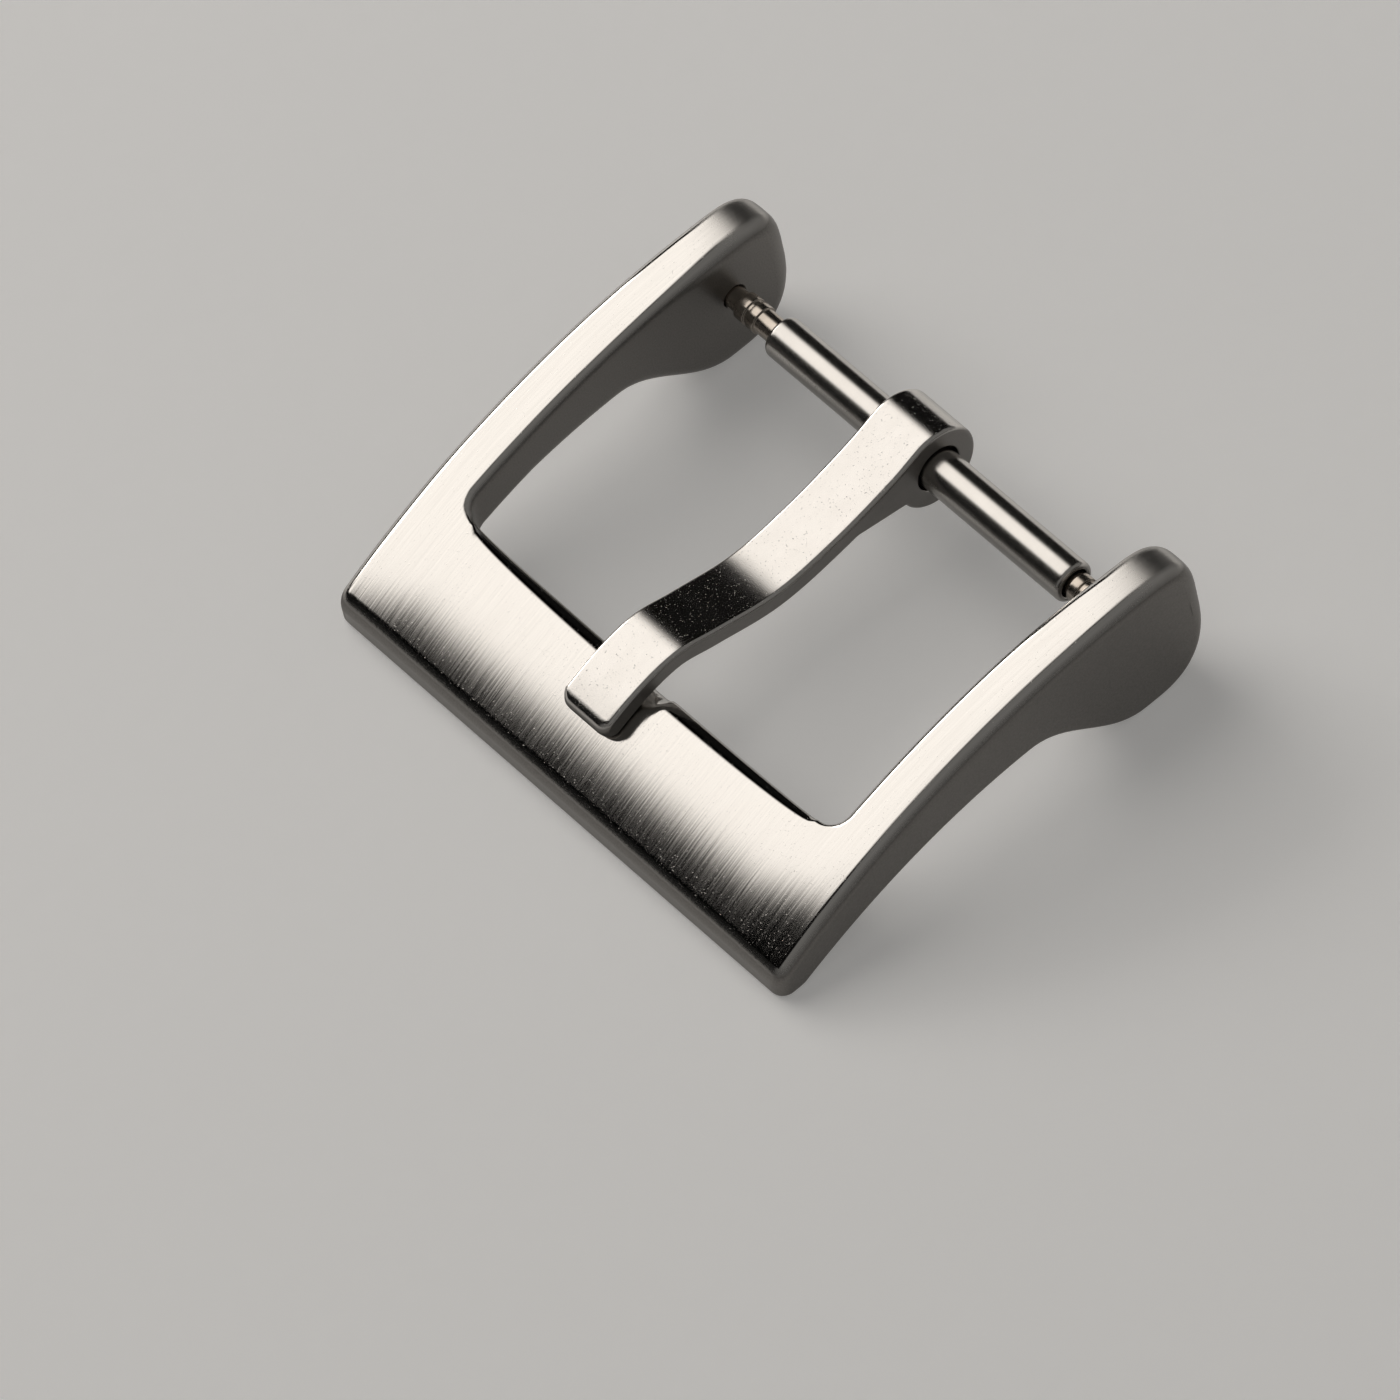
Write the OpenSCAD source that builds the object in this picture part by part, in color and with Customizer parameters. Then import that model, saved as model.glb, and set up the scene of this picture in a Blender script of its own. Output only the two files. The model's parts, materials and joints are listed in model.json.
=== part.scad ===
// Pin buckle of a watch strap: a U-shaped frame, a tongue and a spring bar.
// X runs along the spring bar, +Y points to the lugs and the strap, +Z is up.
// The origin is the middle of the footprint, on the plane that the buckle lies on.

/* [Strap and spring bar] */
// Width of the strap, which is the gap between the arms
strap_w = 18; // [16:0.5:22]
// Outer diameter of the spring bar's barrel
barrel_d = 1.5; // [1.4:0.05:1.8]
// Gap between the barrel's left end and the left arm
barrel_gap_left = 2.25; // [2.1:0.05:2.3]
// Gap between the barrel's right end and the right arm
barrel_gap_right = 1.55; // [1.55:0.05:1.8]
// Distance of the spring bar's axis from the back ends of the lugs
bar_back = 2.5; // [2.2:0.1:3]
// Height of the spring bar's axis above the resting plane
bar_h = 3.05; // [2.8:0.05:3.3]

/* [Frame] */
// Length of the frame from its nose to the back ends of the lugs
frame_l = 18.4; // [17.4:0.2:20]
// Height of the lugs
lug_h = 5.35; // [5.1:0.05:5.8]
// Thickness of each side arm
arm_t = 1.85; // [1.6:0.05:2.4]
// Depth of the front bar from its nose to the opening
front_l = 4.25; // [3.8:0.05:4.8]
// Height at the nose of the arched top line, whose crest is over the spring bar
nose_h = 1.2; // [1.05:0.05:1.5]
// Extra fall of the front bar's top at its nose
front_fall = 0.1; // [0:0.02:0.2]
// Radius of the top edge along the blunt nose
nose_r = 0.25; // [0.15:0.05:0.4]
// Radius of the bottom edge along the nose
foot_r = 0.15; // [0.1:0.05:0.25]
// Height of the arch under the arms
arch_h = 2.4; // [2:0.05:2.6]
// Distance of the arch's crown in front of the spring bar's axis
arch_front = 5; // [4.5:0.1:5.5]
// Roundness of the underside in front of the arch's crown
under_power = 2; // [1.6:0.1:2.2]
// Distance of the lug's lowest point in front of the spring bar's axis
lobe_front = 0.5; // [0.3:0.05:0.8]
// Height of the lug's rearmost point
lobe_mid = 3; // [2.9:0.1:3.5]
// Fullness of the lug's end above that point: 2 is an ellipse, more is squarer
lobe_full = 3.6; // [2.4:0.1:3.8]
// Corner radius of the opening
opening_r = 0.7; // [0.4:0.1:1]
// Radius of the front corners, seen from above
corner_r = 0.5; // [0.4:0.1:1.2]
// Radius of the lugs' outer back corners, seen from above
lug_outer_r = 0.45; // [0.3:0.05:0.6]
// Radius of the lugs' inner back corners, seen from above
lug_inner_r = 0.7; // [0.3:0.05:0.8]
// Length of the flat under the nose, in the middle of the front bar
land_l = 0.95; // [0.85:0.05:1.2]
// Width of the scoop that lets the tongue down into the front bar
scoop_w = 2.9; // [2.8:0.1:3.4]
// Depth of the scoop at the front bar's rear edge
scoop_t = 0.3; // [0.2:0.05:0.4]
// Radius of the scoop
scoop_r = 3; // [2:0.5:4]
// Depth of the blind hole for the spring bar in each lug
hole_depth = 0.75; // [0.7:0.05:1]

/* [Tongue] */
// Width of the tongue at its loop
tongue_w = 2.35; // [2:0.05:2.5]
// Width of the tongue at its tip
tip_w = 2.25; // [1.8:0.05:2.3]
// Thickness of the tongue's strip
tongue_t = 0.7; // [0.6:0.05:0.75]
// Distance of the tip from the nose of the frame
tip_back = 1.7; // [1.5:0.05:2.2]
// Distance of the tongue's crest behind the front bar
crest_back = 0.9; // [0.8:0.05:1.2]
// Height of the tongue's crest above the resting plane, top side
crest_h = 3.97; // [3.95:0.01:4.1]
// Distance of the lowest point of the dip behind the front bar
dip_back = 4.95; // [4.45:0.1:5.05]
// Sideways place of the tongue on the spring bar
tongue_x = -0.27; // [-0.27:0.01:0.27]
// Height of the lowest point of the dip above the resting plane, top side
dip_h = 3.12; // [3:0.02:3.3]
// Wall of the loop round the spring bar
loop_t = 0.69; // [0.6:0.01:0.75]
// Corner radius of the tip
tip_r = 0.45; // [0.3:0.05:0.6]

/* [Spring bar ends] */
// Diameter of the tip that sits in the lug
pin_d = 0.8; // [0.7:0.05:0.8]
// Length of the tip outside the lug
pin_out = 0.49; // [0.45:0.01:0.52]
// Length of the tip inside the lug
pin_in = 0.65; // [0.5:0.05:0.65]
// Diameter of the two flanges
flange_d = 1.02; // [0.96:0.02:1.04]
// Length of the outer flange
flange_outer_l = 0.44; // [0.4:0.02:0.46]
// Length of the inner flange
flange_inner_l = 0.36; // [0.3:0.02:0.38]
// Length of the groove between the flanges
groove_l = 0.14; // [0.1:0.02:0.18]
// Diameter of the neck and of the groove
neck_d = 0.9; // [0.84:0.02:0.92]
// Length of the neck
neck_l = 1.27; // [1.2:0.01:1.4]
// Length of the guide that slides in the barrel
guide_l = 0.8; // [0.6:0.1:1]
// Wall of the barrel
barrel_wall = 0.15; // [0.12:0.01:0.17]
// Length of the rolled-in lip at each end of the barrel
lip_l = 0.25; // [0.2:0.05:0.3]
// Diameter of the spring's wire
wire_d = 0.18; // [0.14:0.01:0.2]
// Number of turns of the spring
spring_turns = 16; // [12:1:16]

/* [Clearances] */
// Radial clearance between the tongue's loop and the barrel
loop_gap = 0.1; // [0.05:0.01:0.1]
// Radial running clearance inside the spring bar
run_gap = 0.02; // [0.01:0.005:0.03]
// Radial clearance of the tip in the lug's hole
hole_gap = 0.03; // [0.02:0.005:0.04]
// Clearance under the tongue where it lies on the front bar
seat_gap = 0.05; // [0.03:0.01:0.1]
// Radial clearance of the spring in the barrel
spring_gap = 0.05; // [0.03:0.01:0.08]

/* [Hidden] */

y_front = -frame_l / 2;
y_back = frame_l / 2;
bar_y = y_back - bar_back;
opening_y = y_front + front_l;
half_gap = strap_w / 2;
half_w = half_gap + arm_t;
past = 1;

bore_d = barrel_d - 2 * barrel_wall;
guide_d = bore_d - 2 * run_gap;
mouth_d = flange_d + 2 * run_gap;
barrel_right = half_gap - barrel_gap_right;
barrel_left = barrel_gap_left - half_gap;
stack_l = flange_inner_l + groove_l + flange_outer_l;
plunger_l = guide_l + neck_l + stack_l + pin_out + pin_in;
loop_r = barrel_d / 2 + loop_gap + loop_t;

steel = [0.78, 0.76, 0.73];
polished = [0.86, 0.84, 0.81];

// Height of the arched top line at y, lower towards the nose of the front bar
top_rise = lug_h - nose_h;
top_r = (pow(bar_y - y_front, 2) + pow(top_rise, 2)) / (2 * top_rise);
function fall(y) = y < opening_y ? front_fall * pow((opening_y - y) / front_l, 2) : 0;
function top_z(y) = lug_h - top_r + sqrt(pow(top_r, 2) - pow(y - bar_y, 2)) - fall(y);
function top_slope(y) = asin((bar_y - y) / top_r);

// Height of the underside in front of the arch's crown, down to the flat under the nose
arch_y = bar_y - arch_front;
land_y = y_front + land_l;
function under_z(y) = arch_h * (1 - pow((arch_y - y) / (arch_y - land_y), under_power));

// Points of an arc, and of a smooth curve through given points
function arc(c, r, a0, a1, n) = [for (i = [0:n]) c + r * [cos(a0 + (a1 - a0) * i / n), sin(a0 + (a1 - a0) * i / n)]];
function spline_at(a, b, c, d, t) =
    0.5 * (2 * b + (c - a) * t + (2 * a - 5 * b + 4 * c - d) * t * t + (3 * b - a - 3 * c + d) * t * t * t);
function curve(p, n) = [
    for (i = [0:len(p) - 2])
        for (k = [0:n - 1])
            spline_at(p[max(i - 1, 0)], p[i], p[i + 1], p[min(i + 2, len(p) - 1)], k / n),
    p[len(p) - 1]
];

// Side outline of the frame, as [y, z]: nose, top, lug, arch and underside
nose_slope = top_slope(y_front + nose_r);
top_y = y_front + nose_r * (1 - sin(nose_slope));
nose_c = [y_front + nose_r, top_z(top_y) - nose_r * cos(nose_slope)];
foot_c = [y_front + foot_r, foot_r];
lobe_y = bar_y - lobe_front;
lobe_low_full = 2.4;
function lobe_power(a) = 2 / (a < 0 ? lobe_low_full : lobe_full);
function lug_at(a) = [
    bar_y + bar_back * pow(cos(a), lobe_power(a)),
    lobe_mid + (a < 0 ? -lobe_mid : lug_h - lobe_mid) * pow(abs(sin(a)), lobe_power(a))
];
nose_steps = 6;
top_steps = 26;
lug_steps = 28;
arch_steps = 14;
under_steps = 12;
side_outline = concat(
    arc(foot_c, foot_r, 270, 180, nose_steps),
    arc(nose_c, nose_r, 180, 90 + nose_slope, nose_steps),
    [for (i = [1:top_steps]) let (y = top_y + (bar_y - top_y) * i / top_steps) [y, top_z(y)]],
    [for (i = [1:lug_steps]) lug_at(90 - 180 * i / lug_steps)],
    [
        for (i = [0:arch_steps])
            let (t = i / arch_steps) [lobe_y + (arch_y - lobe_y) * t, arch_h * (1 - cos(180 * t)) / 2]
    ],
    [for (i = [1:under_steps]) let (y = arch_y + (land_y - arch_y) * i / under_steps) [y, under_z(y)]]
);

// Outline of the frame from above, as [x, y]
corner_steps = 8;
outer_plan = concat(
    arc([half_w - corner_r, y_front + corner_r], corner_r, 270, 360, corner_steps),
    arc([half_w - lug_outer_r, y_back - lug_outer_r], lug_outer_r, 0, 90, corner_steps),
    arc([lug_outer_r - half_w, y_back - lug_outer_r], lug_outer_r, 90, 180, corner_steps),
    arc([corner_r - half_w, y_front + corner_r], corner_r, 180, 270, corner_steps)
);

// Outline of the opening from above. It runs out past the lugs
lug_mouth_y = y_back - lug_inner_r;
opening_plan = concat(
    arc([half_gap - opening_r, opening_y + opening_r], opening_r, -90, 0, corner_steps),
    arc([half_gap + lug_inner_r, lug_mouth_y], lug_inner_r, 180, 90, corner_steps),
    [[half_gap + lug_inner_r, y_back + past], [-half_gap - lug_inner_r, y_back + past]],
    arc([-half_gap - lug_inner_r, lug_mouth_y], lug_inner_r, 90, 0, corner_steps),
    arc([opening_r - half_gap, opening_y + opening_r], opening_r, 180, 270, corner_steps)
);

// Centre line of the scoop: it meets the rear edge scoop_t below the top
scoop_slope = top_slope(opening_y);
scoop_c = [opening_y, top_z(opening_y)] + (scoop_r - scoop_t) * [-sin(scoop_slope), cos(scoop_slope)]
    + scoop_t * [cos(scoop_slope), sin(scoop_slope)];

// Puts a side outline, drawn as [y, z], across the width w
module across(w) {
    translate([-w / 2, 0, 0])
        rotate([90, 0, 90])
            linear_extrude(w) children();
}

// A cylinder along X from x0 to x1 on the spring bar's axis
module rod(x0, x1, d) {
    translate([min(x0, x1), bar_y, bar_h])
        rotate([0, 90, 0])
            cylinder(h = abs(x1 - x0), d = d, $fn = 64);
}

// One-piece frame: front bar, two arms and the lugs with their blind holes
module frame() {
    color(steel)
        difference() {
            intersection() {
                across(2 * half_w) polygon(side_outline);
                translate([0, 0, -past]) linear_extrude(lug_h + 2 * past) polygon(outer_plan);
            }
            translate([0, 0, -past]) linear_extrude(lug_h + 2 * past) polygon(opening_plan);
            across(scoop_w) translate(scoop_c) circle(r = scoop_r, $fn = 96);
            rod(half_gap - past, half_gap + hole_depth, pin_d + 2 * hole_gap);
            rod(past - half_gap, -half_gap - hole_depth, pin_d + 2 * hole_gap);
        }
}

// Top line of the tongue from the tip to the loop, as [y, z]. The tongue lies on the front
// bar up to the point where it lifts off
tip_y = y_front + tip_back;
rise = tongue_t / cos(scoop_slope) + seat_gap;
rest_end = 0.8;
lift_off_y = opening_y - rest_end;
// A point of the fall from crest to dip, as shares of its length and of its height
fall_share = [0.41, 0.44];
curve_steps = 8;
// The climb to the loop, as distances in front of the bar and heights over the dip
climb = [[4.2, 0.28], [1.9, 0.86]];
// The loop starts on top of the bar at this angle and ends under the strip
loop_start = 112;
loop_turn = 272;
function loop_at(a, r) = [bar_y, bar_h] + r * [cos(a), sin(a)];
tongue_line = curve([
    [tip_y, top_z(tip_y) + rise],
    [lift_off_y, top_z(lift_off_y) + rise],
    [opening_y + crest_back, crest_h],
    [
        opening_y + crest_back + fall_share[0] * (dip_back - crest_back),
        crest_h - fall_share[1] * (crest_h - dip_h)
    ],
    [opening_y + dip_back, dip_h],
    for (c = climb) [bar_y - c[0], dip_h + c[1]],
    loop_at(loop_start, loop_r)
], curve_steps);
function unit(v) = v / norm(v);
function tongue_dir(i) = unit(tongue_line[min(i + 1, len(tongue_line) - 1)] - tongue_line[max(i - 1, 0)]);
function tongue_under(i) = tongue_line[i] + tongue_t * [tongue_dir(i)[1], -tongue_dir(i)[0]];

// Side outline of the tongue: top line, loop, and the loop's end, which tapers
// to the underside of the strip
lap_start = 5 * curve_steps + 2;
loop_steps = 68;
tongue_outline = concat(
    tongue_line,
    [for (i = [1:loop_steps]) loop_at(loop_start - loop_turn * i / loop_steps, loop_r)],
    [for (i = [lap_start:-1:0]) tongue_under(i)]
);

// Outline of the tongue from above, narrower at its tip
tongue_plan = concat(
    [
        [tongue_w / 2, bar_y + loop_r + past],
        [-tongue_w / 2, bar_y + loop_r + past],
        [-tongue_w / 2, bar_y - loop_r]
    ],
    arc([tip_r - tip_w / 2, tip_y + tip_r], tip_r, 180, 270, corner_steps),
    arc([tip_w / 2 - tip_r, tip_y + tip_r], tip_r, 270, 360, corner_steps),
    [[tongue_w / 2, bar_y - loop_r]]
);

// Bent strip with a loop that turns on the barrel
module tongue() {
    color(polished)
        translate([tongue_x, 0, 0])
            difference() {
                intersection() {
                    across(tongue_w + past) polygon(tongue_outline);
                    linear_extrude(lug_h) polygon(tongue_plan);
                }
                rod(-tongue_w, tongue_w, barrel_d + 2 * loop_gap);
            }
}

// Tube of the spring bar, with a lip rolled in at each end
module bar_barrel() {
    color(polished)
        difference() {
            rod(barrel_left, barrel_right, barrel_d);
            rod(barrel_left + lip_l, barrel_right - lip_l, bore_d);
            rod(barrel_left - past, barrel_right + past, mouth_d);
        }
}

// Stepped pin: tip in the lug, two flanges, neck and the guide in the barrel.
// side is 1 at the right and -1 at the left
module plunger(side) {
    tip = side * (half_gap + pin_in);
    shoulder = side * (half_gap - pin_out);
    groove_out = shoulder - side * flange_outer_l;
    groove_in = groove_out - side * groove_l;
    neck_out = groove_in - side * flange_inner_l;
    neck_in = neck_out - side * neck_l;
    color(polished) {
        rod(tip, shoulder, pin_d);
        rod(shoulder, groove_out, flange_d);
        rod(groove_out, groove_in, neck_d);
        rod(groove_in, neck_out, flange_d);
        rod(neck_out, neck_in, neck_d);
        rod(neck_in, neck_in - side * guide_l, guide_d);
    }
}

module left_plunger() {
    plunger(-1);
}

module right_plunger() {
    plunger(1);
}

// Compression spring between the two guides, one unbroken tube of wire
spring_half = half_gap + pin_in - plunger_l;
spring_r = bore_d / 2 - spring_gap - wire_d / 2;
coil_rings = 8;
wire_sides = 6;
ring_count = spring_turns * coil_rings + 1;
coil_l = 2 * spring_half - wire_d - 2 * run_gap;
coil_pitch = coil_l / spring_turns;
coil_climb = atan(coil_pitch / (2 * PI * spring_r));
function coil_angle(i) = 360 * i / coil_rings;
function coil_point(i) = [
    -coil_l / 2 + coil_l * i / (ring_count - 1),
    spring_r * cos(coil_angle(i)),
    spring_r * sin(coil_angle(i))
];
function wire_point(i, k) =
    let (
        out = [0, cos(coil_angle(i)), sin(coil_angle(i))],
        along = [cos(coil_climb), sin(coil_climb) * sin(coil_angle(i)), -sin(coil_climb) * cos(coil_angle(i))],
        a = 360 * k / wire_sides
    ) coil_point(i) + wire_d / 2 * (cos(a) * out + sin(a) * along);
coil_gap = min([for (i = [0:coil_rings]) norm(coil_point(i + coil_rings) - coil_point(i))]) - wire_d;
echo(least_gap_between_turns = coil_gap);

module bar_spring() {
    points = [for (i = [0:ring_count - 1]) for (k = [0:wire_sides - 1]) wire_point(i, k)];
    walls = [
        for (i = [0:ring_count - 2])
            for (k = [0:wire_sides - 1])
                let (a = i * wire_sides + k, b = i * wire_sides + (k + 1) % wire_sides)
                    each [[a, b, b + wire_sides], [a, b + wire_sides, a + wire_sides]]
    ];
    first = [for (k = [wire_sides - 1:-1:0]) k];
    last = [for (k = [0:wire_sides - 1]) (ring_count - 1) * wire_sides + k];
    color(steel)
        translate([0, bar_y, bar_h])
            polyhedron(points, concat(walls, [first, last]));
}

frame();
tongue();
bar_barrel();
left_plunger();
right_plunger();
bar_spring();
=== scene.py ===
"""Pin buckle of a watch strap: brushed steel frame, spring bar and tongue.

+X runs along the spring bar, +Y points to the lugs, +Z is up. Sizes here are in millimetres.
"""

import json
import math

import bmesh
import bpy
import numpy as np
from mathutils import Matrix, Vector


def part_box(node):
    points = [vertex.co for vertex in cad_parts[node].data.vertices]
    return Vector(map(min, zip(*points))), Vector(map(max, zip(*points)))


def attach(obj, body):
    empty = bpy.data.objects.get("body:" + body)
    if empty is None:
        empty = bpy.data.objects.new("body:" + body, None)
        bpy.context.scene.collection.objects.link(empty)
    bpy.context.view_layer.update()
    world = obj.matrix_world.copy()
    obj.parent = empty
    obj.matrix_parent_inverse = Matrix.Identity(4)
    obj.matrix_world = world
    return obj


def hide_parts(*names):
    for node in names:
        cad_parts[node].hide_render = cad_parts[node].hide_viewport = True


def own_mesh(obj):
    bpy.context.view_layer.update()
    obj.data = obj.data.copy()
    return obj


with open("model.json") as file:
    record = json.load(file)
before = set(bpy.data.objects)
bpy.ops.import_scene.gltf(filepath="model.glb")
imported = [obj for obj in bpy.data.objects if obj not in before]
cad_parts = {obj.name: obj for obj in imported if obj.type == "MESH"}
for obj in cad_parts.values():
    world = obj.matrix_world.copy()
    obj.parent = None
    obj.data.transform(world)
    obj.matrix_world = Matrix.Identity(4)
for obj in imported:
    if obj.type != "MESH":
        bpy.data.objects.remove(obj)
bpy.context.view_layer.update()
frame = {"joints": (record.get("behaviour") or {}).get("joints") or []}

MM = 0.001


# The frame is one forged and ground piece of stainless steel: a wide front bar and two arms
# that deepen into round lugs. Its top is brushed from front to back after every edge has been
# softened on a wheel, most at the front bar's rear edge. The lugs are drilled for the spring bar.
frame_low, frame_high = (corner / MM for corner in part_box("frame"))
nose_y, back_y = frame_low.y, frame_high.y
half_w, lug_h = frame_high.x, frame_high.z
arm_t = 1.85
bar_axis = next(Vector(j["pos_m"]) / MM for j in frame["joints"] if j["name"] == "tongue_swing")
bar_y, bar_z = bar_axis.y, bar_axis.z
half_gap = half_w - arm_t
opening_y = nose_y + 4.25
rear_y = opening_y + 0.08
opening_r = 0.7
corner_r = 0.5
bar_back = back_y - bar_y

# Side view: the arched top line, the underside's arch and the round end of a lug
nose_h = 1.2
front_fall = 0.1
arch_h = 2.4
arch_y = bar_y - 5
land_y = nose_y + 0.95
lobe_y = bar_y - 0.5
lobe_mid = 3.0
lobe_full_above, lobe_full_below = 3.6, 2.4
top_rise = lug_h - nose_h
top_r = ((bar_y - nose_y) ** 2 + top_rise**2) / (2 * top_rise)

# The scoop in the front bar's rear edge takes the tongue
scoop_x = -0.12
scoop_half = 1.28
scoop_depth = 0.3
scoop_r = 3
scoop_side = 0.3
scoop_side_rise = 2
scoop_blend = 0.2

# What finishing by hand takes off: a crown across each arm and one at the front corners, each a
# drop for the square of a distance, and a bevel along the front bar's rear edge. Round a lug's
# end the arm's crown grows to a dome
arm_crown = 0.05
corner_crown = 0.01
corner_crown_x = 8.0
crown_change = 2.4
crown_run_in = 0.7
bevel_run, bevel_fall, bevel_soft = 0.62, 0.5, 0.3
lug_dome = 2
lug_soft_outer, lug_soft_inner = 0.55, 0.7


def arched_top(y):
    """Height of the ground top line at y."""
    fall = front_fall * np.clip((opening_y - y) / (opening_y - nose_y), 0, 1) ** 2
    return lug_h - top_r + np.sqrt(top_r**2 - (y - bar_y) ** 2) - fall


def crown_at(x, y):
    """How far hand finishing took the top down at (x, y): most at the corners and the arms' edges."""
    back = np.clip((y - opening_y + crown_change / 2) / crown_change, 0, 1)
    back = back * back * (3 - 2 * back)
    beside = np.clip(np.abs(x) - half_gap + crown_run_in, 0, crown_run_in) / crown_run_in
    from_middle = np.clip(np.abs(x) - half_w + arm_t / 2, -arm_t / 2, arm_t / 2)
    on_arm = arm_crown * from_middle**2 * beside**2 * (3 - 2 * beside)
    at_corner = corner_crown * np.clip(np.abs(x) - corner_crown_x, 0, None) ** 2
    return at_corner * (1 - back) + on_arm * back


def top_at(x, y):
    """Height of the frame's top at (x, y), with the crown and the scoop."""
    top = arched_top(y) - crown_at(x, y)
    tilt = math.asin((bar_y - opening_y) / top_r)
    lift = scoop_r - scoop_depth
    centre_y = opening_y - lift * math.sin(tilt) + scoop_depth * math.cos(tilt)
    centre_z = arched_top(opening_y) + lift * math.cos(tilt) + scoop_depth * math.sin(tilt)
    floor = centre_z - np.sqrt(np.clip(scoop_r**2 - (y - centre_y) ** 2, 0.1, None))
    floor = floor + scoop_side_rise * np.clip(np.abs(x - scoop_x) - scoop_half + scoop_side, 0, None) ** 2
    near = np.clip(scoop_blend - np.abs(top - floor), 0, None) / scoop_blend
    return np.minimum(top, floor) - near**2 * scoop_blend / 4


def under_at(y):
    """Height of the frame's underside at y, in front of the spring bar."""
    rise = np.clip((arch_y - y) / (arch_y - land_y), 0, 1) ** 2
    turn = np.clip((y - lobe_y) / (arch_y - lobe_y), 0, 1)
    return np.where(y < arch_y, arch_h * (1 - rise), arch_h * (1 - np.cos(np.pi * turn)) / 2)


def add_sheet(bm, points):
    """Adds a sheet of four-sided faces over a grid of points."""
    grid = [[bm.verts.new(Vector(p) * MM) for p in row] for row in points]
    for a, b in zip(grid, grid[1:]):
        for i in range(len(a) - 1):
            bm.faces.new((a[i], a[i + 1], b[i + 1], b[i]))


def finish_shell(bm, name):
    """Joins the sheets of a closed shell and makes it a smooth object."""
    bmesh.ops.remove_doubles(bm, verts=bm.verts, dist=2e-7)
    bmesh.ops.dissolve_degenerate(bm, edges=bm.edges, dist=1e-7)
    bmesh.ops.recalc_face_normals(bm, faces=bm.faces)
    mesh = bpy.data.meshes.new(name)
    bm.to_mesh(mesh)
    bm.free()
    mesh.shade_smooth()
    piece = bpy.data.objects.new(name, mesh)
    bpy.context.scene.collection.objects.link(piece)
    return piece


def frame_stations():
    """Stations along half of the U: along the front bar, round the corner and up the arm.

    Each is two ways to place a point a distance d inside a wall, the outer and the inner one.
    """
    corner_x = half_gap - opening_r
    corner_y = rear_y + opening_r
    stations = []
    for x in np.linspace(0, corner_x, 40):
        stations.append((
            lambda d, x=x: (x, nose_y + d),
            lambda d, x=x: (x, rear_y - d),
        ))
    front_run = half_w - corner_r - corner_x
    side_run = corner_y - nose_y - corner_r

    def outer(kind, t):
        turn = t * math.pi / 2
        if kind == "front":
            return lambda d: (corner_x + front_run * t, nose_y + d)
        if kind == "side":
            return lambda d: (half_w - d, nose_y + corner_r + side_run * t)
        return lambda d: (
            half_w - corner_r + (corner_r - d) * math.sin(turn),
            nose_y + corner_r - (corner_r - d) * math.cos(turn),
        )

    def inner(turn):
        return lambda d: (
            corner_x + (opening_r + d) * math.sin(turn),
            corner_y - (opening_r + d) * math.cos(turn),
        )

    # Each stretch of the outer wall with its steps, and the degrees of the opening's corner it faces
    legs = (("front", 9, 0, 32), ("corner", 9, 32, 52), ("side", 18, 52, 90))
    for kind, count, start, end in legs:
        for i in range(1, count + 1):
            t = i / count
            turn = math.radians(start + (end - start) * t)
            stations.append((outer(kind, t), inner(turn)))
    for y in np.linspace(corner_y, bar_y, 46)[1:]:
        stations.append((
            lambda d, y=y: (half_w - d, y),
            lambda d, y=y: (half_gap + d, y),
        ))
    return stations


def softening(y):
    """Edge radii at a station: outer top, inner top, inner bottom, outer bottom."""
    corner_run, lug_run, under_run = 3.5, 5.5, 3
    past_corner = np.clip((y - nose_y) / corner_run, 0, 1)
    to_lug = np.clip((y - bar_y + lug_run) / lug_run, 0, 1) ** 2
    behind_bar = np.clip((y - opening_y) / under_run, 0, 1)
    outer_top = 0.24 + 0.17 * past_corner + 0.07 * to_lug
    inner_top = 0.3 + 0.25 * to_lug
    inner_bottom = 0.3 + 0.3 * behind_bar
    outer_bottom = 0.15 + 0.05 * past_corner
    return outer_top, inner_top, inner_bottom, outer_bottom


# Angles round a softened edge, and shares of the way across a face and down a wall
FILLET = np.radians([0, 10, 20, 31, 42, 53, 64, 74, 83, 90])
ACROSS = np.array([0.01, 0.035, 0.1, 0.2, 0.3, 0.4, 0.5, 0.6, 0.7, 0.8, 0.9, 0.965, 0.99])
DOWN = (0, 0.05, 0.2, 0.5, 0.8, 0.95, 1)


def fillet_rows(radius):
    """Distances inside a wall and drops under the top over a softened edge, from the wall up."""
    return [(radius * (1 - math.cos(a)), radius * (1 - math.sin(a))) for a in FILLET]


def rear_edge_rows(x, y, radius):
    """The same over the top inner edge. The front bar's rear edge is dressed to a rounded bevel."""
    share = np.clip(1 - (x / (half_gap - opening_r)) ** 2, 0, 1) ** 0.4 if y < rear_y + 0.01 else 0
    way = Vector((bevel_run, -bevel_fall)).normalized()
    lower = 0.75 * bevel_soft
    corners = (
        (Vector((0, bevel_fall)), Vector((0, lower)), lower * way),
        (Vector((bevel_run, 0)), -bevel_soft * way, Vector((bevel_soft, 0))),
    )
    bevel = []
    for corner, before, after in corners:
        for t in np.linspace(0, 1, len(FILLET) // 2):
            bevel.append(corner + before * (1 - t) ** 2 + after * t**2)
    return [
        (d + (b[0] - d) * share, drop + (b[1] - drop) * share)
        for (d, drop), b in zip(fillet_rows(radius), bevel)
    ]


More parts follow.
